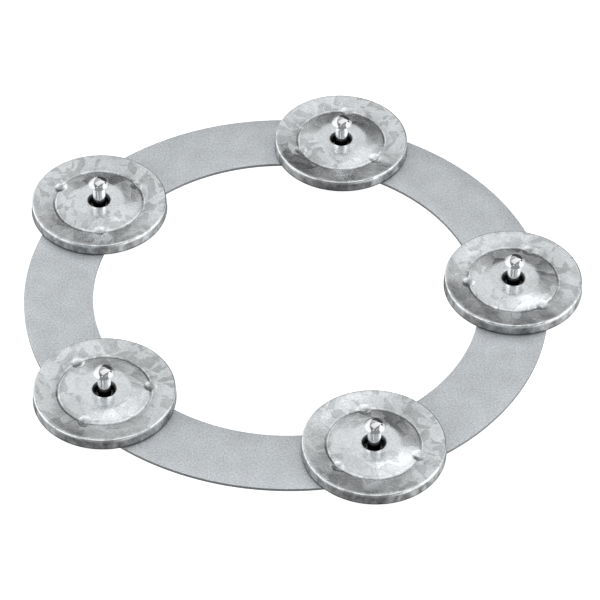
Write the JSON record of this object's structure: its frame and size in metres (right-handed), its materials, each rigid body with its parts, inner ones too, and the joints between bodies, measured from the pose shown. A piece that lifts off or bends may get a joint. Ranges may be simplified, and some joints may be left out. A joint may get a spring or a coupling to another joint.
{
  "type": "ching ring",
  "caption": "Flat steel ring with pairs of loose pressed-sheet jingles on domed stand-off rivets; lies on a cymbal and rattles when it is struck.",
  "frame": {"origin": "centre of the ring, at its top face, which lies within a millimetre of the whole part's centre of mass", "axes": "+Z square to the ring, from its underside to the rivets' heads; +X through the first rivet"},
  "size_m": [0.1626, 0.1663, 0.0137],
  "materials": {
    "blasted_steel": "flat steel sheet with a fine, matte, bead-blasted look",
    "polished_steel": "bright nickel-plated, mirror smooth",
    "spangled_zinc": "zinc-plated sheet steel, bright, with faint spangle and scuffs",
    "dull_zinc": "zinc-plated sheet steel, duller"
  },
  "bodies": {
    "ring": {"ring_plate": "blasted_steel", "rivet_1": "polished_steel", "rivet_2": "polished_steel", "rivet_3": "polished_steel", "rivet_4": "polished_steel", "rivet_5": "polished_steel"},
    "lower_jingle_1": {"lower_jingle_1": "dull_zinc"},
    "upper_jingle_1": {"upper_jingle_1": "spangled_zinc"},
    "lower_jingle_2": {"lower_jingle_2": "dull_zinc"},
    "upper_jingle_2": {"upper_jingle_2": "spangled_zinc"},
    "lower_jingle_3": {"lower_jingle_3": "dull_zinc"},
    "upper_jingle_3": {"upper_jingle_3": "spangled_zinc"},
    "lower_jingle_4": {"lower_jingle_4": "dull_zinc"},
    "upper_jingle_4": {"upper_jingle_4": "spangled_zinc"},
    "lower_jingle_5": {"lower_jingle_5": "dull_zinc"},
    "upper_jingle_5": {"upper_jingle_5": "spangled_zinc"}
  },
  "joints": [
    {"name": "jingle_spin_1", "type": "hinge", "parent": "ring", "child": "lower_jingle_1", "pos_m": [0.0662, 0, 0], "axis": [0, 0, 1], "continuous": true},
    {"name": "jingle_jump_1", "type": "slide", "parent": "lower_jingle_1", "child": "upper_jingle_1", "axis": [0, 0, 1], "range_m": [0, 0.0059]},
    {"name": "jingle_spin_2", "type": "hinge", "parent": "ring", "child": "lower_jingle_2", "pos_m": [0.02046, 0.06296, 0], "axis": [0, 0, 1], "continuous": true},
    {"name": "jingle_jump_2", "type": "slide", "parent": "lower_jingle_2", "child": "upper_jingle_2", "axis": [0, 0, 1], "range_m": [0, 0.0059]},
    {"name": "jingle_spin_3", "type": "hinge", "parent": "ring", "child": "lower_jingle_3", "pos_m": [-0.05356, 0.03891, 0], "axis": [0, 0, 1], "continuous": true},
    {"name": "jingle_jump_3", "type": "slide", "parent": "lower_jingle_3", "child": "upper_jingle_3", "axis": [0, 0, 1], "range_m": [0, 0.0059]},
    {"name": "jingle_spin_4", "type": "hinge", "parent": "ring", "child": "lower_jingle_4", "pos_m": [-0.05356, -0.03891, 0], "axis": [0, 0, 1], "continuous": true},
    {"name": "jingle_jump_4", "type": "slide", "parent": "lower_jingle_4", "child": "upper_jingle_4", "axis": [0, 0, 1], "range_m": [0, 0.0059]},
    {"name": "jingle_spin_5", "type": "hinge", "parent": "ring", "child": "lower_jingle_5", "pos_m": [0.02046, -0.06296, 0], "axis": [0, 0, 1], "continuous": true},
    {"name": "jingle_jump_5", "type": "slide", "parent": "lower_jingle_5", "child": "upper_jingle_5", "axis": [0, 0, 1], "range_m": [0, 0.0059]}
  ]
}
